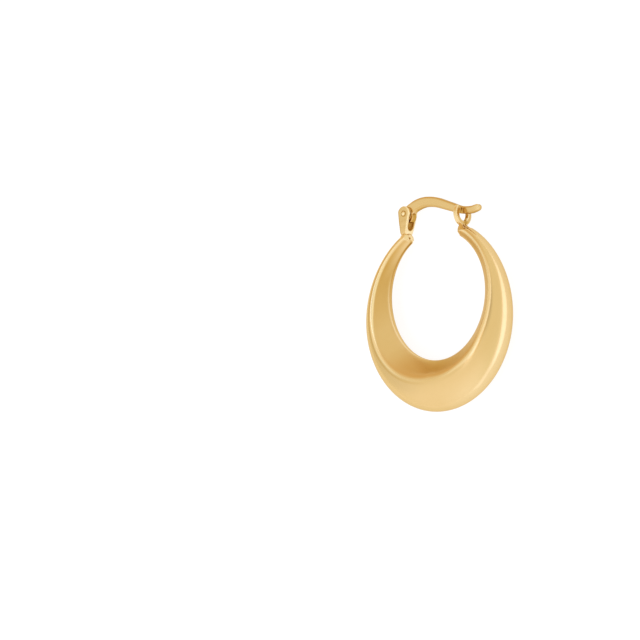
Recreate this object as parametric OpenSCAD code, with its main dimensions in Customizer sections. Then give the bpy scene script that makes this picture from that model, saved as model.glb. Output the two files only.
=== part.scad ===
// Graduated creole hoop earring: a hollow oval hoop, full at the bottom and slim at both ends,
// closed by a hinged ear wire that drops into an open ring. It lies on its side, front face up.
// Every piece is drawn upright, from the middle of the opening: X from the hinge towards the
// catch, Y from the front face to the back, Z up towards the ear wire. Lengths are in millimetres.

/* [Hoop] */
// Half the width of the outside oval
outer_half_w = 10.6; // [10.2:0.1:11]
// Half the height of the outside oval
outer_half_h = 11.6; // [11.2:0.1:12]
// How far the middle of the outside oval lies below the middle of the opening
oval_drop = 2.5; // [2.2:0.1:2.8]
// Half the width of the opening
opening_half_w = 7.2; // [7:0.1:7.4]
// Half the height of the opening
opening_half_h = 7.8; // [7.6:0.1:8]
// Half the depth of the hoop where it is fullest
full_half_d = 2.85; // [2.6:0.05:3]
// Half the depth of the hoop at its two ends
end_half_d = 0.9; // [0.85:0.05:1]
// Where the shoulders stand, as a share of the way out from the opening, where it is fullest
full_shoulder = 0.37; // [0.3:0.01:0.45]
// The same share at the two ends
end_shoulder = 0.68; // [0.6:0.01:0.7]
// Thickness of the sheet
sheet_t = 0.35; // [0.3:0.05:0.4]
// Angle from the lowest place to the end that carries the hinge
hinge_end_a = 152; // [150:0.5:154]
// Angle from the lowest place to the end that carries the catch
catch_end_a = 151.5; // [150:0.5:154]
// Diameter of the two vent holes
vent_d = 0.3; // [0.2:0.05:0.35]

/* [Hinge] */
// Place of the rivet across the hoop
rivet_x = -4.15; // [-4.2:0.05:-4.1]
// Height of the rivet
rivet_z = 10.38; // [10.3:0.02:10.5]
// Diameter of the rivet
rivet_d = 0.5; // [0.4:0.05:0.55]
// Diameter of the rivet's heads
rivet_head_d = 0.74; // [0.7:0.02:0.8]
// Clear space all round the rivet where it passes the ears
ear_clear = 0.015; // [0.01:0.005:0.02]
// Clear space all round the rivet where the ear wire turns on it
turn_clear = 0.025; // [0.02:0.005:0.03]
// Radius of the rounded top of an ear
ear_r = 0.9; // [0.85:0.01:0.95]
// Thickness of an ear
ear_t = 0.3; // [0.25:0.05:0.35]
// Clear space between the two ears
ear_gap = 1.02; // [0.98:0.02:1.1]

/* [Ear wire] */
// Thickness of the flattened wire, from front to back
wire_t = 0.72; // [0.66:0.02:0.76]
// Radius of the wire's hub round the rivet
hub_r = 0.9; // [0.85:0.05:0.95]
// Radius of the heel below the hub
heel_r = 0.7; // [0.65:0.05:0.75]
// Depth of the shallow nick on each face where the wire lies in the catch
nick_t = 0.05; // [0.03:0.01:0.06]

/* [Catch] */
// Place of the catch across the hoop
catch_x = 4.15; // [4.1:0.05:4.2]
// Height of the middle of the ring
catch_z = 9.35; // [9.3:0.05:9.4]
// Inside radius of the ring
catch_r = 0.85; // [0.8:0.05:0.9]
// Width of the ring's band, across the curve
band_w = 0.64; // [0.6:0.02:0.66]
// Thickness of the ring, along the ear wire
band_t = 0.54; // [0.5:0.02:0.6]
// Angle above the level at which the two prongs end
prong_a = 35; // [30:1:38]

/* [Hidden] */
gold = [0.89, 0.74, 0.48];
fine = 48;

// How the depth falls from the fullest place to the ends, and the roundness of the inner ridge
limb_a = 153;
depth_hold = 2.2;
depth_fall = 1.8;
ridge_power = 1.25;
// The section is averaged over this turn either way, which rounds its shoulders and its ridge
soften_a = 12;

// Rings along the skin and points round each ring, outside and inside
skin_rings = 72;
skin_points = 28;
hollow_rings = 32;
hollow_points = 12;
// Solid metal left at each end, as an angle, and the extra metal under the inner ridge
plug_a = 3;
ridge_metal = 0.15;
// Mouths of the two vents, on the inner side of the solder shoulders, and how far in they reach
hinge_vent = [-3.76, -0.32, 7.36];
catch_vent = [3.54, -0.15, 7.26];
vent_reach_a = 7;

// The ear wire from the hub to its tip: place along X, height, half its own height
WIRE_X = 0;
WIRE_Z = 1;
WIRE_HALF = 2;
wire_rows = [
    [-4.15, 10.40, 0.78],
    [-3.35, 10.93, 0.69],
    [-2.45, 11.31, 0.66],
    [-1.20, 11.48, 0.62],
    [0.40, 11.23, 0.60],
    [2.30, 10.53, 0.54],
    [4.10, 9.86, 0.47],
    [5.50, 9.67, 0.44],
    [6.53, 9.82, 0.40],
];
wire_steps = 6;
heel_x = 0.43;
heel_z = -0.41;

// The fork below its ears: waist of the outline, its half width and where the slot ends
waist_x = -4.42;
waist_z = 8.15;
waist_r = 0.48;
fork_foot_half_d = 0.62;
fork_spread_z = 9.3;
slot_z = 8.4;

// The solder shoulders that close the ends of the hoop, from the hoop upwards: the middle of each
// oval ring, its half width and half depth, and how far its outward side is turned up
RING_X = 0;
RING_Z = 1;
RING_HALF_W = 2;
RING_HALF_D = 3;
RING_TURN = 4;
hinge_shoulder = [
    [-4.41, 7.40, 0.86, 0.86, 17],
    [-4.38, 7.65, 0.76, 0.79, 11],
    [-4.40, 7.86, 0.61, 0.69, 5],
    [-4.42, 8.02, 0.42, 0.56, 0],
];
catch_shoulder = [
    [4.32, 7.35, 0.81, 0.84, 18],
    [4.20, 7.60, 0.70, 0.72, 12],
    [4.14, 7.84, 0.56, 0.58, 4],
    [4.15, 8.08, 0.32, 0.45, 0],
];

// The lying pose: turns and shift that bring the upright drawing to rest on its back face
rest_turn = [-94, -0.17, 0];
rest_shift = [0.002, 0.983, 2.131];

// A point of an oval, in the direction a from its lowest place
function on_oval(half_w, half_h, drop, a) =
    let(r = 1 / norm([sin(a) / half_w, cos(a) / half_h]))
    [r * sin(a), -r * cos(a) - drop];

// Half the depth and the place of the shoulders at the direction a
function limb(a) = min(1, abs(a) / limb_a);
function half_depth(a) =
    end_half_d + (full_half_d - end_half_d) * pow(1 - pow(limb(a), depth_hold), depth_fall);
function shoulder(a) = full_shoulder + (end_shoulder - full_shoulder) * limb(a);

// A point of the section, as shares of the half depth and of the way out:
// a half oval outside the shoulders and a blunt ridge inside them
function sharp(q, s) =
    [cos(q), sin(q) >= 0 ? s + (1 - s) * sin(q) : s * pow(abs(cos(q)), ridge_power)];
function mixed(q, s) = (sharp(q - soften_a, s) + 2 * sharp(q, s) + sharp(q + soften_a, s)) / 4;
function section(q, s) =
    let(low = mixed(270, s)[1], high = mixed(90, s)[1], side = mixed(0, s)[0], p = mixed(q, s))
    [p[0] / side, (p[1] - low) / (high - low)];

// One ring of the skin at the direction a, set back from the outside by metal
function ring(a, points, metal, ridge) =
    let(
        inner = on_oval(opening_half_w, opening_half_h, 0, a),
        outer = on_oval(outer_half_w, outer_half_h, oval_drop, a),
        way = norm(outer - inner),
        out = (outer - inner) / way,
        half_d = half_depth(a) - metal
    )
    [for (j = [0:points - 1])
        let(
            p = section(360 * j / points, shoulder(a)),
            q = inner + out * (metal + ridge + p[1] * (way - 2 * metal - ridge))
        )
        [q[0], p[0] * half_d, q[1]]];

// A smooth curve through the rows of a table
function through(rows, i, f) =
    let(
        a = rows[max(i - 1, 0)],
        b = rows[i],
        c = rows[i + 1],
        d = rows[min(i + 2, len(rows) - 1)]
    )
    (2 * b + (c - a) * f + (2 * a - 5 * b + 4 * c - d) * f * f + (3 * b - a - 3 * c + d) * f * f * f) / 2;
function smooth(rows, steps) =
    concat(
        [for (i = [0:len(rows) - 2], k = [0:steps - 1]) through(rows, i, k / steps)],
        [rows[len(rows) - 1]]
    );

module at_rest() {
    translate(rest_shift) rotate(rest_turn) children();
}

// A closed skin over a list of rings with the same number of points
module skin(rings) {
    count = len(rings[0]);
    last = len(rings) - 1;
    sides = [
        for (i = [0:last - 1], j = [0:count - 1])
            let(a = i * count + j, b = i * count + (j + 1) % count)
            each [[a, b, b + count], [a, b + count, a + count]]
    ];
    start = [[for (j = [count - 1:-1:0]) j]];
    end = [[for (j = [0:count - 1]) last * count + j]];
    polyhedron(points = [for (r = rings) each r], faces = concat(sides, start, end), convexity = 6);
}

// An oval ring of a solder shoulder, whose outward side lies towards side
function shoulder_ring(side, row, points) =
    [for (j = [0:points - 1])
        let(q = 360 * j / points, out = row[RING_HALF_W] * sin(q))
        [
            row[RING_X] + side * out * cos(row[RING_TURN]),
            row[RING_HALF_D] * cos(q),
            row[RING_Z] + out * sin(row[RING_TURN]),
        ]];

module hoop_skin() {
    span = hinge_end_a + catch_end_a;
    top = len(hinge_shoulder) - 1;
    skin(concat(
        [for (i = [top:-1:0]) shoulder_ring(-1, hinge_shoulder[i], skin_points)],
        [for (i = [0:skin_rings]) ring(-hinge_end_a + span * i / skin_rings, skin_points, 0, 0)],
        [for (row = catch_shoulder) shoulder_ring(1, row, skin_points)]
    ));
}

module hoop_hollow() {
    first = -hinge_end_a + plug_a;
    span = catch_end_a - plug_a - first;
    skin([for (i = [0:hollow_rings])
        ring(first + span * i / hollow_rings, hollow_points, sheet_t, ridge_metal)]);
}

// A vent drilled from its mouth to the middle of the hollow at the direction a
module vent(mouth, a) {
    middle = (on_oval(opening_half_w, opening_half_h, 0, a)
        + on_oval(outer_half_w, outer_half_h, oval_drop, a)) / 2;
    way = [middle[0], 0, middle[1]] - mouth;
    translate(mouth)
        rotate([0, acos(way[2] / norm(way)), atan2(way[1], way[0])])
            translate([0, 0, -2 * vent_d]) cylinder(d = vent_d, h = norm(way) + 2 * vent_d, $fn = fine);
}

module along_depth(length) {
    rotate([90, 0, 0]) translate([0, 0, -length / 2]) linear_extrude(length) children();
}

// Outline of an ear from the front: a round eye that narrows to the waist
module ear_outline() {
    eye = [rivet_x, rivet_z];
    waist = [waist_x, waist_z];
    side = eye - waist;
    lean = acos((ear_r - waist_r) / norm(side));
    way = atan2(side[1], side[0]);
    right = [cos(way - lean), sin(way - lean)];
    left = [cos(way + lean), sin(way + lean)];
    translate(eye) circle(r = ear_r, $fn = fine);
    translate(waist) circle(r = waist_r, $fn = fine);
    polygon([eye + ear_r * left, waist + waist_r * left, waist + waist_r * right, eye + ear_r * right]);
}

// Outline of the fork from the side: two ears joined by a round-bottomed foot
module fork_outline() {
    half_d = ear_gap / 2 + ear_t;
    low = waist_z - 2 * waist_r;
    high = rivet_z + 2 * ear_r;
    difference() {
        polygon([
            [-fork_foot_half_d, low], [fork_foot_half_d, low], [half_d, fork_spread_z],
            [half_d, high], [-half_d, high], [-half_d, fork_spread_z],
        ]);
        translate([0, slot_z + ear_gap / 2]) circle(d = ear_gap, $fn = fine);
        translate([-ear_gap / 2, slot_z + ear_gap / 2]) square([ear_gap, high]);
    }
}

module fork() {
    half_d = ear_gap / 2 + ear_t;
    difference() {
        intersection() {
            along_depth(4 * half_d) ear_outline();
            translate([rivet_x, 0, 0]) rotate([90, 0, 90]) linear_extrude(4 * ear_r, center = true)
                fork_outline();
        }
        translate([rivet_x, 0, rivet_z])
            along_depth(4 * half_d) circle(r = rivet_d / 2 + ear_clear, $fn = fine);
    }
}

// The catch: a flat open ring that stands across the ear wire, with rounded prongs
module catch_ring() {
    middle_r = catch_r + band_w / 2;
    far = 2 * (catch_r + band_w);
    translate([catch_x, 0, catch_z])
        rotate([90, 0, 90])
            linear_extrude(band_t, center = true) {
                difference() {
                    circle(r = catch_r + band_w, $fn = 2 * fine);
                    circle(r = catch_r, $fn = 2 * fine);
                    polygon([
                        [0, 0], far * [cos(prong_a), sin(prong_a)], [0, 2 * far],
                        far * [-cos(prong_a), sin(prong_a)],
                    ]);
                }
                for (side = [-1, 1])
                    translate(middle_r * [side * cos(prong_a), sin(prong_a)])
                        circle(d = band_w, $fn = fine);
            }
}

module hoop() {
    color(gold) at_rest() {
        difference() {
            hoop_skin();
            hoop_hollow();
            vent(hinge_vent, -hinge_end_a + vent_reach_a);
            vent(catch_vent, catch_end_a - vent_reach_a);
        }
        fork();
        catch_ring();
    }
}

// Outline of the ear wire from the front
module wire_outline() {
    rows = smooth(wire_rows, wire_steps);
    last = len(rows) - 1;
    middle = [for (r = rows) [r[WIRE_X], r[WIRE_Z]]];
    half = [for (r = rows) r[WIRE_HALF]];
    across = [for (i = [0:last])
        let(way = middle[min(i + 1, last)] - middle[max(i - 1, 0)])
        [-way[1], way[0]] / norm(way)];
    polygon(concat(
        [for (i = [0:last]) middle[i] - half[i] * across[i]],
        [for (i = [last:-1:0]) middle[i] + half[i] * across[i]]
    ));
    translate(middle[last]) circle(r = half[last], $fn = fine);
    translate([rivet_x, rivet_z]) circle(r = hub_r, $fn = fine);
    translate([rivet_x + heel_x, rivet_z + heel_z]) circle(r = heel_r, $fn = fine);
}

module ear_wire() {
    color(gold) at_rest() difference() {
        along_depth(wire_t) wire_outline();
        translate([rivet_x, 0, rivet_z])
            along_depth(2 * wire_t) circle(r = rivet_d / 2 + turn_clear, $fn = fine);
        for (side = [-1, 1])
            translate([catch_x, side * wire_t / 2, catch_z])
                cube([band_t, 2 * nick_t, 4 * catch_r], center = true);
    }
}

// The rivet, with a low dome on the outside of each ear
module hinge_rivet() {
    dome_h = rivet_head_d / 4;
    dome_r = (pow(rivet_head_d / 2, 2) + pow(dome_h, 2)) / (2 * dome_h);
    seat = ear_gap / 2 + ear_t;
    color(gold) at_rest() translate([rivet_x, 0, rivet_z]) {
        rotate([90, 0, 0]) cylinder(d = rivet_d, h = 2 * seat, center = true, $fn = fine);
        for (side = [-1, 1])
            rotate([90 * side, 0, 0]) translate([0, 0, seat]) intersection() {
                translate([0, 0, dome_h - dome_r]) sphere(r = dome_r, $fn = 2 * fine);
                cylinder(d = rivet_head_d, h = 2 * dome_h, $fn = fine);
            }
    }
}

hoop();
ear_wire();
hinge_rivet();
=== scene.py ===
"""Graduated creole hoop earring in pale yellow gold, lying on its side on a white table.

Every piece is drawn upright in millimetres, as in the part's source: X from the hinge towards the
catch, Y from the front face to the back, Z up towards the ear wire. LAID brings it to rest, in the
metres of the table, the lights and the camera. Angles are given in degrees.
"""

import math

import bpy
import numpy as np
from mathutils import Matrix, Vector


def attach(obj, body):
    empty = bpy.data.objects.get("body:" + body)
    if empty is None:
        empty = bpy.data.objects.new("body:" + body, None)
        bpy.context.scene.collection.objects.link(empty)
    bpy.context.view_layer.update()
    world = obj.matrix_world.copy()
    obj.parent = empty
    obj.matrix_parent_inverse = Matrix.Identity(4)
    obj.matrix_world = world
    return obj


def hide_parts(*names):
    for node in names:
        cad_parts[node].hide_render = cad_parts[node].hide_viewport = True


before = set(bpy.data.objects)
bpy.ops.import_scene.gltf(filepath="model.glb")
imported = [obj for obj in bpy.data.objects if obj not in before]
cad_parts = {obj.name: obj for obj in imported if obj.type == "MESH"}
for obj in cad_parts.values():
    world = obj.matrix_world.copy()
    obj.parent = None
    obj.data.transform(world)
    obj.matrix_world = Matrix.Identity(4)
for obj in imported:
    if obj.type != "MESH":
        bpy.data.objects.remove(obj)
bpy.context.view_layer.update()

MM = 0.001

# Hoop: an oval opening in an oval outline, and half its depth at the bottom and at the ends
OUTER_HALF_W = 10.6
OUTER_HALF_H = 11.6
OVAL_DROP = 2.5
OPENING_HALF_W = 7.2
OPENING_HALF_H = 7.8
FULL_HALF_D = 2.85
END_HALF_D = 0.9
# Where the shoulders lie at the bottom and at the ends, from the opening at 0 to the outline at 1
FULL_SHOULDER = 0.37
END_SHOULDER = 0.68
# How far round from the bottom the two ends are, and the full length of the taper
HINGE_END = 152
CATCH_END = 151.5
LIMB = 153
# How long the taper holds the depth, and how steeply the depth then falls
DEPTH_HOLD = 2.2
DEPTH_FALL = 1.8
# The curve of a section inside its shoulders, where 1 is a V, and the turn that softens it
RIDGE_POWER = 1.25
SOFTEN = 12
# The rings of the skin, and the points of a ring as first drawn and as kept
HOOP_RINGS = 400
DRAWN_POINTS = 720
HOOP_POINTS = 160
# How much of the way from the opening to the shoulders counts as innermost
INNERMOST = 0.5
# Rounds of smoothing that take the edge off the shoulders, as polishing does
POLISH = 12

# Vents: their width, depth, soft edge and the painted glint round their mouth, how far in and out of
# the mouth they act, and how far round from the hoop's end they lead to the middle of its hollow
VENT_D = 0.3
VENT_DEEP = 0.35
VENT_EDGE = 0.05
VENT_RIM = 0.06
VENT_NEAR = 0.5
VENT_REACH = 7
# Their mouths on the solder shoulders, and how dark the painted shade inside them is
HINGE_VENT = (-3.76, -0.32, 7.36)
HINGE_VENT_TONE = 1.5
CATCH_VENT = (3.54, -0.15, 7.26)
CATCH_VENT_TONE = 0.3

# Finish of the hoop, mostly painted shade and painted highlights, by the place round it, from its
# hinge end by the bottom at 0 to its catch end
ROUND_AT = (-150, -140, -127, -112, -90, -70, -60, -48, -38, -25, 5, 26, 45, 60, 90, 150)
# How deep the painted shade is inside, and how much less so within a reach of the shoulders
INNER_SHADE = (0.45, 0.7, 0.88, 0.7, 0.5, 0.2, 0.2, 0.18, 0.28, 0.5, 0.9, 0.75, 0.3, 0.2, 0.25, 0.5)
LIGHTER = (0, 0, 0, 0, 0, 0, 0, 0.1, 0.35, 0.75, 0.85, 0.65, 0.2, 0, 0, 0)
LIGHTER_REACH = 0.7
# How strong the painted highlight along the shoulders is, and where it starts and ends inside
# them. It has a soft edge, and where there is no line the inner painted shade runs a little over
# the shoulders.
LINED = (0.6, 0.65, 0.75, 0.85, 0.9, 0.85, 0.85, 0.75, 0.6, 0.3, 0, 0.4, 0.45, 0.9, 0.9, 0.7)
LINE_FROM = (
    0.2, 0.18, 0.12, 0.07, 0.02, -0.14, -0.22, -0.27, -0.33, -0.36, -0.4, -0.35, -0.5, -0.2, -0.1, 0,
)
LINE_TO = (
    0.5, 0.5, 0.5, 0.5, 0.5, 0.28, 0.14, 0.02, -0.04, -0.08, 0, 0.2, -0.02, 0.25, 0.45, 0.45,
)
LINE_EDGE = 0.10
OVERRUN = 0.60
# How strong the painted shade line outside the painted highlight is, how far off and how wide
SHADED = (0.3, 0.3, 0.35, 0.4, 0.4, 0.5, 0.55, 0.5, 0.45, 0.35, 0, 0.2, 0.4, 0.7, 0.1, 0.2)
SHADED_OFF = 0.28
SHADED_W = 0.12
# How strong the painted light is on the inside at the hinge end and on the outside by the bottom,
# and over which distance from the shoulders it comes up
PALE_IN = (0.6, 0.35, 0.2, 0, 0, 0, 0, 0, 0, 0, 0, 0, 0, 0, 0, 0)
PALE_OUT = (0, 0, 0, 0, 0, 0.1, 0.2, 0.2, 0.12, 0, 0, 0.25, 0.22, 0.2, 0.1, 0)
PALE_AWAY = (0.7, 1.4)
PALE_BELOW = (1.5, 3.2)
# How bright the painted highlight on the innermost line is, how dark the painted shade on the edge
# next to it, and the depth of both
INNER_HIGHLIGHT = (0, 0, 0, 0.3, 1, 1, 0.8, 0.6, 0.6, 0.6, 0.5, 0.5, 0.5, 0.5, 0.5, 0.5)
INNER_HIGHLIGHT_Y = -0.30
INNER_HIGHLIGHT_W = 0.10
EDGE_TONE = (1.7, 1.3, 0.9, 0.8, 0.8, 0.7, 0.4, 0, 0, 0, 0, 0, 0, 0, 0, 0)
EDGE_Y = -0.14
EDGE_W = 0.12

# Solder shoulders: the steps from one row to the next and from the hoop to a shoulder, and how
# strong the painted highlight on the one at the hinge is
SHOULDER_STEPS = 10
JOIN_STEPS = 14
HINGE_SHOULDER_PALE = 0.5
# Their rows from the hoop upwards: middle X and Z, half width, half depth, turn
HINGE_SHOULDER = (
    (-4.41, 7.40, 0.86, 0.86, 17),
    (-4.38, 7.65, 0.76, 0.79, 11),
    (-4.40, 7.86, 0.61, 0.69, 5),
    (-4.42, 8.02, 0.42, 0.56, 0),
)
CATCH_SHOULDER = (
    (4.32, 7.35, 0.81, 0.84, 18),
    (4.20, 7.60, 0.70, 0.72, 12),
    (4.14, 7.84, 0.56, 0.58, 4),
    (4.15, 8.08, 0.32, 0.45, 0),
    (4.15, 8.35, 0.15, 0.20, 0),
)

# Rivet, with a domed head on each side, in a shallow groove where it was set
RIVET_X = -4.15
RIVET_Z = 10.38
RIVET_D = 0.5
RIVET_POINTS = 48
HEAD_D = 0.74
HEAD_H = HEAD_D / 4
GROOVE_W = 0.10
# How far over the ear a head starts, so that the two don't touch
HEAD_LIFT = 0.002
# Rim of a head: how far inside the head's edge, how high over the ear and how deep its painted shade
HEAD_RIM = ((0.02, 0.004, 0), (0, 0.02, 1), (0.03, 0.045, 1), (GROOVE_W, 0.03, 1))
# Its dome: how high over the ear it starts, the power that makes it fuller than an oval, and its
# first and last turn
DOME_FOOT = 0.04
DOME_POWER = 0.8
DOME_TURNS = (10, 88)
DOME_STEPS = 12

# Hinge fork: two ears, each round at the rivet and at a narrower waist, and their common foot
EAR_R = 0.9
EAR_T = 0.3
EAR_GAP = 1.02
WAIST_X = -4.42
WAIST_Z = 8.15
WAIST_R = 0.48
# How far below the waist its round ends, and half the width from there on, in waist radii
STEM_DROP = 0.5
STEM_HALF_W = 0.87
# The foot: half its depth, the height where the ears have spread to theirs, its underside, and
# the power that makes it squarer than an oval
FOOT_HALF_D = 0.62
FOOT_SPREAD_Z = 9.3
FOOT_Z = 7.75
FOOT_POWER = 0.45
SLOT_Z = 8.4
# Sections round the top of an ear between two turns, down the ear and under the slot
EYE_TURNS = (88, 8)
EYE_STEPS = 14
EAR_STEPS = 16
SLOT_STEPS = 14
# How dark the painted shade in the fork's slot is, from its bottom up to the rivet
SLOT_DARK_Z = (SLOT_Z, SLOT_Z + 1.0, RIVET_Z)
SLOT_DARK = (1.6, 1.3, 0.25)

# Ear wire: a hub on the rivet and a heel below it, both discs, whose painted shade deepens to the
# rim
HUB_R = 0.9
HUB_T = 0.84
HEEL_R = 0.7
HEEL_T = 0.69
HEEL_X = 0.43
HEEL_Z = -0.41
DISC_POINTS = 72
DISC_EDGE_STEPS = 7
DISC_MIDDLE_R = 0.02
DISC_TONE = 0.35
RIM_TONE = 1.10
# Its wire, whose rows give its place along X, its height and half its own height
WIRE_T = 0.72
WIRE_ROWS = (
    (-4.15, 10.40, 0.78),
    (-3.35, 10.93, 0.69),
    (-2.45, 11.31, 0.66),
    (-1.20, 11.48, 0.62),
    (0.40, 11.23, 0.60),
    (2.30, 10.53, 0.54),
    (4.10, 9.86, 0.47),
    (5.50, 9.67, 0.44),
    (6.53, 9.82, 0.40),
)
WIRE_STEPS = 14
# Nick where it lies in the catch, with a little room to each side
NICK_T = 0.05
NICK_ROOM = 0.06
# How thin the wire gets at its tip, and from which share of its height on
TIP_THIN = 0.72
TIP_THIN_FROM = 0.8
# How pale the painted highlight on the tip's front is, and from which ring before the end to which
# it comes up
TIP_PALE = 0.35
TIP_PALE_RINGS = (22, 10)
# Where the painted shade on its edges comes up beside the hub, and what is left of it at the tip
OFF_HUB = (RIVET_X + 0.9, RIVET_X + 1.5)
TIP_EDGE_TONE = 0.5
# Painted shade and reflection of the catch where the wire snaps into it, with two darker lines
# across it
SNAP_AT = (3.8, 4.1, 4.75, 4.95)
SNAP_TONE = 0.8
SNAP_LINES = (4.22, 4.68)
SNAP_LINE_W = 0.09
SNAP_LINE_TONE = 1.7

# Catch: an open ring. PRONG is how far above level its prongs end, and PRONG_THIN the share of
# the band's thickness that is left at their tips.
CATCH_X = 4.15
CATCH_Z = 9.35
CATCH_R = 0.85
BAND_W = 0.64
BAND_T = 0.54
PRONG = 35
PRONG_THIN = 0.55
RING_STEPS = 72
# Deeper painted shade in the crevice where the ring is soldered on, by the direction round the ring
FOOT_TURN = -78
FOOT_REACH = 26
FOOT_TONE = 1.3

# Steps of a rounded tip, and the turn at which a flat end closes it
TIP_STEPS = 12
TIP_END = 86

# Roundness of the worked edges, and the most of a section's half width that a corner takes up
EAR_EDGE = 0.09
WIRE_EDGE = 0.16
HUB_EDGE = 0.6 * WIRE_EDGE
HEEL_EDGE = 0.8 * WIRE_EDGE
BAND_EDGE = 0.12
FULLEST_CORNER = 0.98

# Points in a corner of a rounded section and along a side of it, and the names of its sides
CORNER = 5
SIDE = 5
QUARTER = CORNER + SIDE
TOP, LEFT, BOTTOM, RIGHT = range(4)

# Resting pose: laid back about X, tipped a little about Y and set on the table
LAID_BACK = -94
LAID_TIP = -0.17
LAID_AT = (0.002, 0.983, 2.131)
LAID = (
    Matrix.Translation(Vector(LAID_AT) * MM)
    @ Matrix.Rotation(math.radians(LAID_TIP), 4, "Y")
    @ Matrix.Rotation(math.radians(LAID_BACK), 4, "X")
    @ Matrix.Scale(MM, 4)
)


def sin(a):
    return np.sin(np.radians(a))


def cos(a):
    return np.cos(np.radians(a))


def placed(name, data):
    """An object made of data, in the scene."""
    made = bpy.data.objects.new(name, data)
    bpy.context.scene.collection.objects.link(made)
    return made


def put(name, points, faces, body, node, painted_readings):
    """A closed smooth piece from points in the upright drawing, at rest on its body.
    Its last argument gives named readings of the finish, painted shade and painted highlights among
    them, with a number for each point."""
    mesh = bpy.data.meshes.new(name)
    mesh.from_pydata([tuple(p) for p in points], [], faces)
    mesh.transform(LAID)
    mesh.polygons.foreach_set("use_smooth", [True] * len(mesh.polygons))
    mesh.update()
    for kind, values in painted_readings.items():
        mesh.attributes.new(kind, "FLOAT", "POINT").data.foreach_set("value", values)
    piece = placed(name, mesh)
    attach(piece, body)
    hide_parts(node)
    return piece


def volume(points, faces):
    """The volume inside a closed skin, below 0 where its faces look inwards."""
    fans = [(face[0], face[i], face[i + 1]) for face in faces for i in range(1, len(face) - 1)]
    a, b, c = points[np.array(fans)].transpose(1, 0, 2)
    return np.sum(np.cross(a, b) * c) / 6


def skin(rings):
    """Points and faces of a closed skin over rings with the same number of points."""
    rings = np.asarray(rings, float)
    count = rings.shape[1]
    last = rings.shape[0] - 1
    faces = []
    for i in range(last):
        low = i * count
        for j in range(count):
            k = (j + 1) % count
            faces.append((low + j, low + k, low + count + k, low + count + j))
    points = rings.reshape(-1, 3)
    # a fan over a middle point closes each end
    first_middle = len(points)
    points = np.vstack([points, rings[0].mean(0), rings[last].mean(0)])
    for j in range(count):
        k = (j + 1) % count
        faces.append((k, j, first_middle))
        faces.append((last * count + j, last * count + k, first_middle + 1))
    if volume(points, faces) < 0:
        faces = [face[::-1] for face in faces]
    return points, faces


def over_skin(values, ends=0):
    """A reading for all points of a skin, from its values ring by ring and that at both ends."""
    return np.append(values, (ends, ends))


def joined(*shells):
    """Several skins as one list of points and faces."""
    points, faces, start = [], [], 0
    for shell_points, shell_faces in shells:
        points.append(shell_points)
        faces += [tuple(start + v for v in face) for face in shell_faces]
        start += len(shell_points)
    return np.vstack(points), faces


def lathe(profile, middle, points):
    """A skin turned about the depth through middle, from (radius, depth) pairs."""
    q = np.arange(points) * 360 / points
    return skin(
        [
            np.stack([middle[0] + r * cos(q), 0 * q + y, middle[1] + r * sin(q)], -1)
            for r, y in profile
        ]
    )


def through(rows, steps):
    """A smooth curve through the rows of a table."""
    rows = np.asarray(rows, float)
    last = len(rows) - 1
    made = []
    for i in range(last):
        a, b, c, d = rows[max(i - 1, 0)], rows[i], rows[i + 1], rows[min(i + 2, last)]
        bend = 2 * a - 5 * b + 4 * c - d
        twist = 3 * b - a - 3 * c + d
        for f in np.arange(steps) / steps:
            made.append((2 * b + (c - a) * f + bend * f**2 + twist * f**3) / 2)
    made.append(rows[last])
    return np.array(made)


def rounded(half_w, half_h, radius):
    """A rounded rectangle round the origin, counter-clockwise from its right top corner."""
    radius = min(radius, half_w * FULLEST_CORNER, half_h * FULLEST_CORNER)
    made = []
    corners = ((1, 1), (-1, 1), (-1, -1), (1, -1))
    part = np.arange(1, SIDE + 1) / (SIDE + 1)
    for quarter, (sx, sy) in enumerate(corners):
        a = np.linspace(90 * quarter, 90 * quarter + 90, CORNER)
        x = sx * (half_w - radius) + radius * cos(a)
        y = sy * (half_h - radius) + radius * sin(a)
        next_sx, next_sy = corners[(quarter + 1) % 4]
        end_x = next_sx * (half_w - radius) + radius * cos(a[-1])
        end_y = next_sy * (half_h - radius) + radius * sin(a[-1])
        made += list(zip(x, y))
        made += list(zip(x[-1] + (end_x - x[-1]) * part, y[-1] + (end_y - y[-1]) * part))
    return np.array(made)


def reading(sides=(), corners=()):
    """A reading over such a ring from (which, strength) pairs. Corner k comes before side k."""
    made = np.zeros((4, QUARTER))
    for side, strength in sides:
        made[side, CORNER:] = strength
    for corner, strength in corners:
        made[corner, :CORNER] = strength
    return made.ravel()


def line(value, middle, width):
    """A soft line of strength 1 where value is middle."""
    return np.exp(-(((value - middle) / width) ** 2))


# Hoop


def on_oval(half_w, half_h, drop, a):
    r = 1 / np.hypot(sin(a) / half_w, cos(a) / half_h)
    return np.stack([r * sin(a), -r * cos(a) - drop], -1)


def ovals(a):
    """X and Z of the opening and of the outline, at the place a round the hoop."""
    opening = on_oval(OPENING_HALF_W, OPENING_HALF_H, 0, a)
    outline = on_oval(OUTER_HALF_W, OUTER_HALF_H, OVAL_DROP, a)
    return opening, outline


def limb(a):
    return np.minimum(1, np.abs(a) / LIMB)


def half_depth(a):
    return END_HALF_D + (FULL_HALF_D - END_HALF_D) * (1 - limb(a) ** DEPTH_HOLD) ** DEPTH_FALL


def shoulder(a):
    return FULL_SHOULDER + (END_SHOULDER - FULL_SHOULDER) * limb(a)


def sharp(q, s):
    """A section with shoulders at s, before it is softened: how far across and how far out it is
    at the turn q."""
    way = np.where(sin(q) >= 0, s + (1 - s) * sin(q), s * np.abs(cos(q)) ** RIDGE_POWER)
    return np.stack([cos(q) + 0 * s, way], -1)


def mixed(q, s):
    return (sharp(q - SOFTEN, s) + 2 * sharp(q, s) + sharp(q + SOFTEN, s)) / 4


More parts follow.
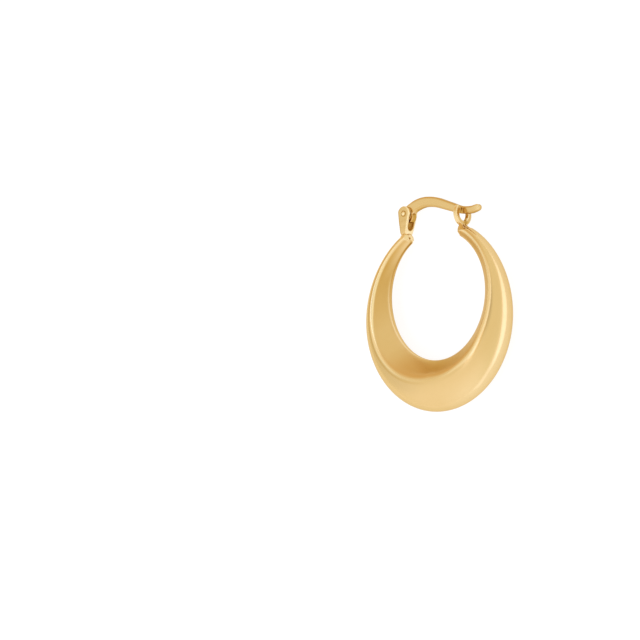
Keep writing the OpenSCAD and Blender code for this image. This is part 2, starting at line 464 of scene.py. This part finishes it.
def section(q, s):
    """The softened section, brought back to its full width and height."""
    low = mixed(270.0, s)[..., 1]
    high = mixed(90.0, s)[..., 1]
    side = mixed(0.0, s)[..., 0]
    p = mixed(q, s)
    return p[..., 0] / side, (p[..., 1] - low) / (high - low)


def evened(rings, count):
    """Rings whose rows are spread evenly along the outside, which is their first half, and along
    the inside. The first three columns are the place."""
    half = rings.shape[1] // 2
    part = np.arange(count // 2) / (count // 2)
    made = []
    for ring in rings:
        closed = np.vstack([ring, ring[:1]])
        for side in (closed[: half + 1], closed[half:]):
            way = np.hypot.reduce(np.diff(side[:, :3], axis=0), axis=1)
            along = np.concatenate([[0], np.cumsum(way)])
            at = along[-1] * part
            made += list(np.stack([np.interp(at, along, column) for column in side.T], -1))
    return np.array(made).reshape(len(rings), count, -1)


def polished(rings):
    """Rings whose corners are rubbed round."""
    for _ in range(POLISH):
        rings = (np.roll(rings, 1, axis=1) + 2 * rings + np.roll(rings, -1, axis=1)) / 4
    return rings


def hoop_finish(a, inside, y, innermost):
    """The readings inward, of painted shade and of painted highlights of places a round the hoop and
    inside its shoulders.
    """

    def by_place(table):
        return np.interp(a, ROUND_AT, table)

    lined = by_place(LINED)
    start = by_place(LINE_FROM)
    soft = LINE_EDGE + OVERRUN * (1 - lined)
    inward = np.clip((inside - by_place(LINE_TO) * lined) / soft + 1 - lined, 0, 1)
    lighter = by_place(LIGHTER) * line(np.maximum(inside, 0), 0, LIGHTER_REACH)
    # The inner tone, the shaded line and the dark edge are painted shade
    tone = inward * by_place(INNER_SHADE) * (1 - lighter)
    shaded = by_place(SHADED) * line(inside, start - SHADED_OFF, SHADED_W)
    dark_edge = by_place(EDGE_TONE) * line(y, EDGE_Y, EDGE_W) * innermost
    painted_shade = np.maximum.reduce([tone, shaded, dark_edge])
    # The bright line, the innermost line and the pale parts are painted highlights and painted light
    bright = lined * np.clip((inside - start) / LINE_EDGE + 1, 0, 1 - inward)
    edge_highlight = by_place(INNER_HIGHLIGHT) * line(y, INNER_HIGHLIGHT_Y, INNER_HIGHLIGHT_W) * innermost
    pale_in = by_place(PALE_IN) * np.interp(inside, PALE_AWAY, (0, 1))
    pale_out = by_place(PALE_OUT) * np.interp(-inside, PALE_BELOW, (0, 1))
    painted_highlight = np.maximum.reduce([bright, edge_highlight, pale_in, pale_out]) * np.clip(1 - dark_edge, 0, 1)
    return inward, painted_shade, painted_highlight


def hoop_rings():
    """Rings of X, Y, Z and the readings inward, of painted shade and of painted highlights."""
    a, q = np.meshgrid(
        np.linspace(-HINGE_END, CATCH_END, HOOP_RINGS + 1),
        np.arange(DRAWN_POINTS) * 360 / DRAWN_POINTS,
        indexing="ij",
    )
    across, out = section(q, shoulder(a))
    opening, outline = ovals(a)
    place = opening + (outline - opening) * out[..., None]
    y = across * half_depth(a)
    thick = np.hypot(*np.moveaxis(outline - opening, -1, 0))
    in_from_shoulder = (shoulder(a) - out) * thick
    off_shoulder = np.hypot(in_from_shoulder, half_depth(a) - np.abs(y))
    inside = off_shoulder * np.sign(in_from_shoulder)
    readings = hoop_finish(a, inside, y, out < INNERMOST * shoulder(a))
    rings = evened(np.stack([place[..., 0], y, place[..., 1], *readings], -1), HOOP_POINTS)
    rings[..., :3] = polished(rings[..., :3])
    return rings


def shoulder_rings(side, rows, pale):
    """Rings of a solder shoulder, with the same columns as those of the hoop. side is -1 at the
    hinge and 1 at the catch."""
    q = np.arange(HOOP_POINTS) * 360 / HOOP_POINTS
    made = []
    for x, z, half_w, half_d, turn in through(rows, SHOULDER_STEPS):
        out = half_w * sin(q)
        place = (x + side * out * cos(turn), half_d * cos(q), z + out * sin(turn))
        # No painted shade on a shoulder, and the painted highlight set by pale
        made.append(np.stack([*place, 0 * q, 0 * q, 0 * q + pale], -1))
    return np.array(made)


def between(first, last):
    """Rings that lead evenly from one ring to another."""
    part = np.arange(1, JOIN_STEPS)[:, None, None] / JOIN_STEPS
    return first + (last - first) * part


def from_vent(points, mouth, a):
    """How far each point is from the line of a vent, which goes in from its mouth to the middle of
    the hollow at a, and the way it goes. Points too far along it count as 1 mm further off."""
    opening, outline = ovals(a)
    middle = (opening + outline) / 2
    way = np.array((middle[0], 0, middle[1])) - mouth
    way /= np.linalg.norm(way)
    off = points - np.array(mouth)
    along = off @ way
    too_far = np.abs(along) > VENT_NEAR
    return np.linalg.norm(off - along[:, None] * way, axis=1) + too_far, way


def hoop_shell():
    """The hoop with both solder shoulders, and the vents pressed into them."""
    hinge_side = shoulder_rings(-1, HINGE_SHOULDER, HINGE_SHOULDER_PALE)[::-1]
    hoop = hoop_rings()
    catch_side = shoulder_rings(1, CATCH_SHOULDER, 0)
    to_hoop = between(hinge_side[-1], hoop[0])
    from_hoop = between(hoop[-1], catch_side[0])
    rings = np.concatenate([hinge_side, to_hoop, hoop, from_hoop, catch_side])
    points, faces = skin(rings[..., :3])
    inward, painted_shade, painted_highlight = (over_skin(rings[..., column]) for column in (3, 4, 5))
    hinge_vent = (HINGE_VENT, VENT_REACH - HINGE_END, HINGE_VENT_TONE)
    catch_vent = (CATCH_VENT, CATCH_END - VENT_REACH, CATCH_VENT_TONE)
    # Each vent's dimple gets painted shade inside and a painted glint round its mouth
    for mouth, a, tone in (hinge_vent, catch_vent):
        off, way = from_vent(points, mouth, a)
        part = np.clip((VENT_D / 2 - off) / VENT_EDGE, 0, 1)
        points = points + part[:, None] * way * VENT_DEEP
        painted_shade = np.maximum(painted_shade, tone * part)
        painted_highlight = np.maximum(painted_highlight, line(off, VENT_D / 2 + VENT_RIM, VENT_RIM)) * (1 - part)
    painted_readings = {"inward": inward, "painted_shade": painted_shade, "painted_highlight": painted_highlight}
    return put("hoop_shell", points, faces, "hoop_body", "hoop", painted_readings)


# Hinge


def ear_width(z):
    """Middle and half width of an ear at the height z: round at the rivet and at the waist, with a
    straight line between them on each side."""
    eye = np.array((RIVET_X, RIVET_Z))
    waist = np.array((WAIST_X, WAIST_Z))
    side = eye - waist
    lean = math.acos((EAR_R - WAIST_R) / np.hypot(*side))
    way = math.atan2(side[1], side[0])
    edges = []
    for turn in (-lean, lean):
        out = np.array((math.cos(way + turn), math.sin(way + turn)))
        sign = math.copysign(1, out[0])
        top = eye + EAR_R * out
        low = waist + WAIST_R * out
        if z > top[1]:
            edges.append(eye[0] + sign * math.sqrt(EAR_R**2 - (z - eye[1]) ** 2))
        elif z >= low[1]:
            f = (z - low[1]) / (top[1] - low[1])
            edges.append(low[0] + (top[0] - low[0]) * f)
        elif z > waist[1] - WAIST_R * STEM_DROP:
            edges.append(waist[0] + sign * math.sqrt(WAIST_R**2 - (z - waist[1]) ** 2))
        else:
            edges.append(waist[0] + sign * WAIST_R * STEM_HALF_W)
    return sum(edges) / 2, abs(edges[0] - edges[1]) / 2


def fork_stations():
    """Inside and outside points of the fork from the side, from one ear's top to the other's."""
    slot_r = EAR_GAP / 2
    slot_top = SLOT_Z + slot_r
    round_top = RIVET_Z + EAR_R * sin(np.linspace(*EYE_TURNS, EYE_STEPS))
    z = np.concatenate([round_top, np.linspace(RIVET_Z, slot_top, EAR_STEPS)])
    spread = np.clip((z - FOOT_Z) / (FOOT_SPREAD_Z - FOOT_Z), 0, 1)
    ear_in = np.stack([slot_r + 0 * z, z], -1)
    ear_out = np.stack([FOOT_HALF_D + (slot_r + EAR_T - FOOT_HALF_D) * spread, z], -1)
    a = np.linspace(0, 90, SLOT_STEPS)[1:]
    foot_half_d = ear_out[-1, 0] * cos(a) ** FOOT_POWER
    foot_in = np.stack([slot_r * cos(a), slot_top - slot_r * sin(a)], -1)
    foot_out = np.stack([foot_half_d, slot_top - (slot_top - FOOT_Z) * sin(a)], -1)
    inside = np.concatenate([ear_in, foot_in])
    outside = np.concatenate([ear_out, foot_out])
    half = np.stack([inside, outside], 1)
    other_half = half[-2::-1] * (-1, 1)
    return np.concatenate([half, other_half])


def fork_ring(inside, outside):
    """A section of the fork between two of its points from the side."""
    half_t = np.hypot(*(outside - inside)) / 2
    middle = (inside + outside) / 2
    along = (outside - inside) / (2 * half_t)
    half_w = ear_width(middle[1])[1]
    ring = []
    for s, x in rounded(half_t, half_w, EAR_EDGE):
        y, z = middle + along * s
        centre, own_half_w = ear_width(z)
        ring.append((centre + x * own_half_w / half_w, y, z))
    return ring


def fork():
    """Both ears and their foot as one bent bar. LEFT in its sections is the side of the slot."""
    # Painted shade on the slot's side, less on the side away from the catch and a little outside; a
    # painted highlight on the side towards the catch
    dark = reading(
        sides=((LEFT, 1.0), (BOTTOM, 0.5), (RIGHT, 0.1)),
        corners=((LEFT, 0.5), (BOTTOM, 1.0), (RIGHT, 0.4)),
    )
    bright = reading(sides=((TOP, 0.9),), corners=((TOP, 0.9),))
    rings, painted_shade = [], []
    for inside, outside in fork_stations():
        rings.append(fork_ring(inside, outside))
        painted_shade.append(dark * np.interp(inside[1], SLOT_DARK_Z, SLOT_DARK))
    points, faces = skin(rings)
    painted_readings = {"painted_shade": over_skin(painted_shade), "painted_highlight": over_skin([bright] * len(rings))}
    return put("hinge_fork", points, faces, "hoop_body", "hoop", painted_readings)


def hinge_rivet():
    """The rivet and its heads, from rows of radius, depth and the readings of painted shade and of
    painted highlights.
    """
    seat = EAR_GAP / 2 + EAR_T
    head_r = HEAD_D / 2
    half = [(RIVET_D / 2, 0, 0, 0), (RIVET_D / 2, seat + HEAD_LIFT, 0, 0)]
    # Painted shade on the rim and in the groove, and a painted highlight on the dome, strongest at
    # its top
    half += [(head_r - off, seat + high, tone, 0) for off, high, tone in HEAD_RIM]
    for a in np.linspace(*DOME_TURNS, DOME_STEPS):
        r = (head_r - GROOVE_W) * cos(a) ** DOME_POWER
        half.append((r, seat + DOME_FOOT + (HEAD_H - DOME_FOOT) * sin(a), 0, sin(a)))
    profile = np.array([(r, -y, tone, bright) for r, y, tone, bright in half[::-1]] + half[1:])
    points, faces = lathe(profile[:, :2], (RIVET_X, RIVET_Z), RIVET_POINTS)
    painted_readings = {
        "painted_shade": over_skin(np.repeat(profile[:, 2], RIVET_POINTS)),
        "painted_highlight": over_skin(np.repeat(profile[:, 3], RIVET_POINTS), ends=1),
    }
    return put("rivet_heads", points, faces, "hoop_body", "hinge_rivet", painted_readings)


# Catch


def catch_turns(middle_r):
    """Turns round the catch ring from one prong's tip to the other's, and the share of the band's
    width at each."""
    tip_turn = math.degrees(BAND_W / 2 / middle_r)
    tip = np.linspace(0, TIP_END, TIP_STEPS)
    far_prong = -180 - PRONG
    band = np.linspace(PRONG, far_prong, RING_STEPS)[1:-1]
    opening_tip = PRONG + tip_turn * sin(tip[::-1])
    closing_tip = far_prong - tip_turn * sin(tip)
    turns = np.concatenate([opening_tip, band, closing_tip])
    share = np.concatenate([cos(tip[::-1]), 0 * band + 1, cos(tip)])
    return turns, share


def catch_ring():
    """The open ring. TOP in its sections is the outside, and RIGHT the side away from the hinge."""
    middle_r = CATCH_R + BAND_W / 2
    turns, shares = catch_turns(middle_r)
    # Painted shade on the ring's inside and, less, its side away from the hinge, deepest in the
    # crevice at its foot; painted highlights on its edges and outside
    plain = reading(sides=((BOTTOM, 1.2), (RIGHT, 0.35)), corners=((BOTTOM, 0.8),))
    edge_highlight = reading(sides=((TOP, 0.4),), corners=((LEFT, 0.9), (RIGHT, 0.9), (TOP, 0.4)))
    foot_sides = reading(sides=((RIGHT, 1), (BOTTOM, 1)), corners=((BOTTOM, 1), (RIGHT, 1)))
    rings, painted_shade, painted_highlight = [], [], []
    for a, share in zip(turns, shares):
        thin = PRONG_THIN + (1 - PRONG_THIN) * share
        ring = rounded(BAND_T / 2 * thin, BAND_W / 2 * share, BAND_EDGE)
        r = middle_r + ring[:, 1]
        rings.append(np.stack([CATCH_X + ring[:, 0], r * cos(a), CATCH_Z + r * sin(a)], -1))
        foot = line(a, FOOT_TURN, FOOT_REACH) * foot_sides
        painted_shade.append(np.maximum(plain, FOOT_TONE * foot))
        painted_highlight.append(edge_highlight * (1 - foot))
    points, faces = skin(rings)
    painted_readings = {"painted_shade": over_skin(painted_shade), "painted_highlight": over_skin(painted_highlight)}
    return put("catch_ring", points, faces, "hoop_body", "hoop", painted_readings)


# Ear wire


def wire_path():
    """Rows of the wire from the hub on, whose tip closes in a half round of its own height."""
    rows = through(WIRE_ROWS, WIRE_STEPS)
    tip = rows[-1]
    way = (rows[-1] - rows[-2])[:2]
    way = way / np.hypot(*way)
    for a in np.linspace(6, TIP_END, TIP_STEPS):
        place = tip[:2] + way * (tip[2] * sin(a))
        rows = np.vstack([rows, (*place, tip[2] * cos(a))])
    return rows


def wire_rings(rows):
    """Sections of the wire, nicked where it lies in the catch and thin at its tip."""
    last = len(rows) - 1
    tip_half = WIRE_ROWS[-1][2]
    rings = []
    for i, (x, z, half) in enumerate(rows):
        ahead = (rows[min(i + 1, last)] - rows[max(i - 1, 0)])[:2]
        up = np.array((-ahead[1], ahead[0])) / np.hypot(*ahead)
        in_catch = abs(x - CATCH_X) < BAND_T / 2 + NICK_ROOM
        half_t = WIRE_T / 2 - (NICK_T if in_catch else 0)
        thin = TIP_THIN + (1 - TIP_THIN) * min(1, half / (tip_half * TIP_THIN_FROM))
        ring = rounded(half_t * thin, half, WIRE_EDGE)
        rings.append(np.stack([x + up[0] * ring[:, 1], ring[:, 0], z + up[1] * ring[:, 1]], -1))
    return rings


def wire_shade_and_highlight(rows):
    """The readings of painted shade and of painted highlights of the wire. TOP and BOTTOM in its
    sections are its upper and lower edge, LEFT is its front face."""
    # Painted shade on its edges and where the catch shades and is reflected in it; a painted
    # highlight on the front of its tip
    edges = reading(
        sides=((BOTTOM, 0.8), (TOP, 0.8)),
        corners=((TOP, 0.5), (LEFT, 0.5), (BOTTOM, 0.5), (RIGHT, 0.5)),
    )
    snap = reading(sides=((LEFT, 1), (BOTTOM, 1), (RIGHT, 1)), corners=((BOTTOM, 1), (RIGHT, 1)))
    front = reading(sides=((LEFT, 1),), corners=((LEFT, 1), (BOTTOM, 1)))
    x = rows[:, 0]
    to_end = len(rows) - 1 - np.arange(len(rows))
    near_tip = np.interp(-to_end, (-TIP_PALE_RINGS[0], -TIP_PALE_RINGS[1]), (0, 1))
    edge_tone = np.interp(x, OFF_HUB, (0, 1)) * (1 - (1 - TIP_EDGE_TONE) * near_tip)
    snap_shade = SNAP_TONE * np.interp(x, SNAP_AT, (0, 1, 1, 0))
    for middle in SNAP_LINES:
        snap_shade = np.maximum(snap_shade, SNAP_LINE_TONE * line(x, middle, SNAP_LINE_W))
    painted_shade = np.maximum(np.outer(edge_tone, edges), np.outer(snap_shade, snap))
    return over_skin(painted_shade), over_skin(np.outer(TIP_PALE * near_tip, front))


def disc_skin(middle, radius, half_t, edge):
    """A disc with rounded edges, and its painted shade, which deepens to the rim."""
    profile = [(DISC_MIDDLE_R, -half_t, DISC_TONE)]
    for a in np.linspace(0, 90, DISC_EDGE_STEPS):
        r = radius - edge + edge * sin(a)
        y = -half_t + edge - edge * cos(a)
        profile.append((r, y, DISC_TONE + (RIM_TONE - DISC_TONE) * a / 90))
    profile += [(r, -y, tone) for r, y, tone in profile[::-1]]
    profile = np.array(profile)
    tone = over_skin(np.repeat(profile[:, 2], DISC_POINTS))
    return lathe(profile[:, :2], middle, DISC_POINTS), tone


def ear_wire():
    """The wire with its hub and heel."""
    rows = wire_path()
    painted_shade, painted_highlight = wire_shade_and_highlight(rows)
    heel_at = (RIVET_X + HEEL_X, RIVET_Z + HEEL_Z)
    hub, hub_tone = disc_skin((RIVET_X, RIVET_Z), HUB_R, HUB_T / 2, HUB_EDGE)
    heel, heel_tone = disc_skin(heel_at, HEEL_R, HEEL_T / 2, HEEL_EDGE)
    points, faces = joined(skin(wire_rings(rows)), hub, heel)
    disc_tone = np.append(hub_tone, heel_tone)
    painted_readings = {"painted_shade": np.append(painted_shade, disc_tone), "painted_highlight": np.append(painted_highlight, 0 * disc_tone)}
    return put("ear_wire_gold", points, faces, "ear_wire_body", "ear_wire", painted_readings)


shell = hoop_shell()
hinge = fork()
rivet = hinge_rivet()
catch = catch_ring()
wire = ear_wire()


# Finishes

# Outputs of the nodes that have several, by their number
DOT_OUT = 1
COLOUR_OUT = 2
FACTOR_OUT = 2
OBJECT_OUT = 3


class Nodes:
    """A node tree. A Reading wraps a socket of it, and its operators add Math nodes."""

    def __init__(self, tree):
        self.tree = tree

    def node(self, kind, settings=None, inputs=None, output=0):
        made = self.tree.nodes.new(kind)
        for key, value in (settings or {}).items():
            setattr(made, key, value)
        for key, value in (inputs or {}).items():
            self.feed(made.inputs[key], value)
        return Reading(self, made.outputs[output])

    def feed(self, socket, value):
        if isinstance(value, Reading):
            self.tree.links.new(value.socket, socket)
        else:
            socket.default_value = value

    def blend(self, mask, a, b):
        """Colour a where the mask is 0, and b where it is 1."""
        colours = {0: mask, 6: a, 7: b}
        return self.node("ShaderNodeMix", {"data_type": "RGBA"}, colours, COLOUR_OUT)

    def noise(self, place, scale, detail):
        inputs = {"Vector": place, "Scale": scale, "Detail": detail}
        return self.node("ShaderNodeTexNoise", None, inputs)


class Finish(Nodes):
    """The nodes of one material."""

    def __init__(self, name):
        self.material = bpy.data.materials.new(name)
        self.material.use_nodes = True
        super().__init__(self.material.node_tree)
        self.shader = self.tree.nodes["Principled BSDF"]

    def cover(self, pieces):
        for piece in pieces:
            piece.data.materials.clear()
            piece.data.materials.append(self.material)


class Reading:
    """A socket's value, which is worked with as a number."""

    def __init__(self, nodes, socket):
        self.nodes = nodes
        self.socket = socket

    def maths(self, operation, a, b):
        return self.nodes.node("ShaderNodeMath", {"operation": operation}, {0: a, 1: b})

    def __add__(self, other):
        return self.maths("ADD", self, other)

    def __radd__(self, other):
        return self.maths("ADD", other, self)

    def __sub__(self, other):
        return self.maths("SUBTRACT", self, other)

    def __rsub__(self, other):
        return self.maths("SUBTRACT", other, self)

    def __mul__(self, other):
        return self.maths("MULTIPLY", self, other)

    def __rmul__(self, other):
        return self.maths("MULTIPLY", other, self)


PALE = (0.79, 0.565, 0.265, 1)
WARM = (0.75, 0.525, 0.225, 1)
# Colours of painted shade, of deeper painted shade in crevices, and of painted highlights
SHADED_GOLD = (0.60, 0.345, 0.075, 1)
CREVICE_SHADE = (0.28, 0.115, 0.02, 1)
HIGHLIGHT_GOLD = (0.96, 0.78, 0.46, 1)
BODY_RIM = (0.86, 0.76, 0.57, 1)
CLASP_RIM = (0.66, 0.55, 0.36, 1)


def gold(name, rim, roughness, spread, grain_height, dull=0.0, stretch=(1, 1, 1)):
    """Plated gold: its colour and gloss drift a little, over a fine polishing grain. The reading of
    painted shade gives a deeper tone up to 1 and that of a crevice at 2, the reading of painted
    highlights a paler one, and inside the hoop it is rougher by dull."""
    finish = Finish(name)
    place = finish.node("ShaderNodeTexCoord", output=OBJECT_OUT)
    along = finish.node("ShaderNodeVectorMath", {"operation": "MULTIPLY"}, {0: place, 1: stretch})
    drift = finish.noise(place, scale=180.0, detail=2.0)
    cloud = finish.noise(along, scale=1600.0, detail=4.0)
    grain = finish.noise(along, scale=9000.0, detail=3.0)
    inward, painted_shade, painted_highlight = (
        finish.node("ShaderNodeAttribute", {"attribute_name": kind}, output=FACTOR_OUT)
        for kind in ("inward", "painted_shade", "painted_highlight")
    )
    tone = finish.blend(drift * 0.6 + cloud * 0.4, PALE, WARM)
    # Painted shade and then painted highlights go over the gold's own tone
    tone = finish.blend(painted_shade - 1.0, finish.blend(painted_shade, tone, SHADED_GOLD), CREVICE_SHADE)
    tone = finish.blend(painted_highlight, tone, HIGHLIGHT_GOLD)
    gloss = roughness + spread * (drift + cloud - 1.0) + dull * inward
    relief = {"Strength": 0.25, "Distance": grain_height, "Height": grain * 0.5 + cloud}
    finish.feed(finish.shader.inputs["Base Color"], tone)
    finish.feed(finish.shader.inputs["Roughness"], gloss)
    finish.feed(finish.shader.inputs["Normal"], finish.node("ShaderNodeBump", None, relief))
    finish.feed(finish.shader.inputs["Metallic"], 1.0)
    finish.feed(finish.shader.inputs["Specular Tint"], rim)
    return finish


satin = gold("satin_gold", BODY_RIM, 0.21, spread=0.05, grain_height=0.004 * MM, dull=0.13)
cast = gold("cast_gold", CLASP_RIM, 0.17, spread=0.12, grain_height=0.180 * MM)
drawn = gold(
    "polished_gold", CLASP_RIM, 0.18, spread=0.08, grain_height=0.010 * MM, stretch=(0.15, 1, 1)
)
turned = gold("rivet_gold", CLASP_RIM, 0.14, spread=0.05, grain_height=0.006 * MM)
satin.cover([shell])
cast.cover([hinge, catch])
drawn.cover([wire])
turned.cover([rivet])


# Table, light and camera

TABLE_HALF_W = 3.0
TABLE_COLOUR = (0.20, 0.21, 0.25, 1)
TABLE_ROUGHNESS = 0.8
TABLE_GLOW = 0.86
DAYLIGHT = (0.45, 0.55, 1.0)
PAD_LIFT = 0.0003
ROOM = (1.0, 0.98, 0.87, 1)
SHADE = (1.0, 0.76, 0.45, 1)
DAY = (1.0, 0.99, 1.0, 1)

# The view: how far it is turned to the right of the hoop's front, raised and rolled
VIEW_TURN = 37.69
VIEW_RISE = -8.606
VIEW_ROLL = 2.46
VIEW_DISTANCE = 1.5
# The width of the frame at the earring, and where in the frame the middle of the opening is
FRAME_PX = 640
FRAME_W = 0.0768
SENSOR = 36.0
OPENING_AT_PX = (438.4, 295.2)

laid_turn = LAID.to_3x3() * (1 / MM)
plain_right = laid_turn @ Vector((cos(VIEW_TURN), sin(VIEW_TURN), 0))
VIEW_BACK = laid_turn @ Vector(
    (sin(VIEW_TURN) * cos(VIEW_RISE), -cos(VIEW_TURN) * cos(VIEW_RISE), sin(VIEW_RISE))
)
plain_up = VIEW_BACK.cross(plain_right)
VIEW_RIGHT = plain_right * cos(VIEW_ROLL) - plain_up * sin(VIEW_ROLL)
VIEW_UP = VIEW_BACK.cross(VIEW_RIGHT)
AIM = LAID @ Vector((0, 0, 0))


def white_table():
    w = TABLE_HALF_W
    mesh = bpy.data.meshes.new("white_table")
    mesh.from_pydata([(-w, -w, 0), (w, -w, 0), (w, w, 0), (-w, w, 0)], [], [(0, 1, 2, 3)])
    table = placed("white_table", mesh)
    finish = Finish("white_table")
    finish.feed(finish.shader.inputs["Base Color"], TABLE_COLOUR)
    finish.feed(finish.shader.inputs["Roughness"], TABLE_ROUGHNESS)
    finish.feed(finish.shader.inputs["Emission Color"], (1, 1, 1, 1))
    finish.feed(finish.shader.inputs["Emission Strength"], TABLE_GLOW)
    finish.cover([table])


def seen_from(right, up, near):
    """A direction of the photograph's view, as a direction over the table."""
    return (VIEW_RIGHT * right + VIEW_UP * up + VIEW_BACK * near).normalized()


def over_table(turn, rise):
    """A direction by its angle round the table from +X and its angle above the table."""
    return Vector((cos(rise) * cos(turn), cos(rise) * sin(turn), sin(rise)))


def facing(place, right, up, back):
    """The matrix of a place with its own right, up and back."""
    return Matrix.Translation(place) @ Matrix((right, up, back)).transposed().to_4x4()


def lamp_at(name, place, back, upright, width, height, glow):
    """A rectangular lamp that shines away from back, with its height along upright. Its glow is
    its brightness to the eye."""
    lamp = bpy.data.lights.new(name, "AREA")
    lamp.shape = "RECTANGLE"
    lamp.size = width
    lamp.size_y = height
    lamp.energy = glow * math.pi * width * height
    lamp.color = DAYLIGHT
    across = upright.cross(back).normalized()
    holder = placed(name, lamp)
    holder.matrix_world = facing(place, across, back.cross(across), back)
    holder.visible_camera = False


def softbox(name, way, distance, width, height, glow):
    """A soft light that faces the earring from that way."""
    lamp_at(name, AIM + way * distance, way, VIEW_UP, width, height, glow)


def light_pad(name, x, y, width, height, glow):
    """A flat panel of light that lies on the table beside the earring and faces up."""
    down = Vector((0, 0, -1))
    lamp_at(name, Vector((x, y, PAD_LIFT)), down, Vector((0, 1, 0)), width, height, glow)


def camera():
    """The photograph's view, from above the table."""
    lens = bpy.data.cameras.new("camera")
    lens.sensor_width = SENSOR
    lens.lens = SENSOR * VIEW_DISTANCE / FRAME_W
    lens.clip_start = 0.01
    lens.clip_end = 20
    aside = (OPENING_AT_PX[0] - FRAME_PX / 2) * FRAME_W / FRAME_PX / VIEW_DISTANCE
    above = (FRAME_PX / 2 - OPENING_AT_PX[1]) * FRAME_W / FRAME_PX / VIEW_DISTANCE
    back = (VIEW_BACK + VIEW_RIGHT * aside + VIEW_UP * above).normalized()
    right = (VIEW_RIGHT - back * VIEW_RIGHT.dot(back)).normalized()
    holder = placed("camera", lens)
    holder.matrix_world = facing(AIM + VIEW_BACK * VIEW_DISTANCE, right, back.cross(right), back)
    bpy.context.scene.camera = holder


def lobe(nodes, toward, way, full, end):
    """1 within the angle full of that way, and down to 0 at the angle end."""
    along = nodes.node(
        "ShaderNodeVectorMath",
        {"operation": "DOT_PRODUCT"},
        {0: toward, 1: tuple(way)},
        DOT_OUT,
    )
    return nodes.node(
        "ShaderNodeMapRange",
        {"interpolation_type": "SMOOTHSTEP"},
        {"Value": along, "From Min": cos(end), "From Max": cos(full)},
    )


def surroundings():
    """A white tent round the table: brighter beyond the hoop's bottom, and darker on the hinge's
    side, in a seam overhead and in a gap beyond the hinge, where it is also warmer."""
    world = bpy.data.worlds.new("white_tent")
    world.use_nodes = True
    nodes = Nodes(world.node_tree)
    toward = nodes.node("ShaderNodeTexCoord")
    bottom_side = lobe(nodes, toward, over_table(-115, 30), full=25, end=70)
    hinge_side = lobe(nodes, toward, over_table(178, 25), full=5, end=30)
    seam = lobe(nodes, toward, over_table(85, 71), full=5, end=16)
    gap = lobe(nodes, toward, over_table(125, 18), full=15, end=42)
    glow = 1.0 + 0.13 * bottom_side - 0.13 * hinge_side - 0.28 * seam - 0.12 * gap
    colour = nodes.blend(gap, nodes.blend(bottom_side, ROOM, DAY), SHADE)
    background = world.node_tree.nodes["Background"]
    nodes.feed(background.inputs["Color"], colour)
    nodes.feed(background.inputs["Strength"], glow)
    bpy.context.scene.world = world


white_table()
surroundings()
strip_way = seen_from(right=-0.74, up=0.25, near=0.62)
softbox("top_strip", strip_way, distance=0.4, width=0.07, height=0.30, glow=1.3)
light_pad("side_pad", x=0.052, y=-0.002, width=0.075, height=0.036, glow=0.95)
light_pad("low_pad", x=0.034, y=-0.042, width=0.052, height=0.044, glow=0.35)
camera()
bpy.context.scene.view_settings.view_transform = "Standard"
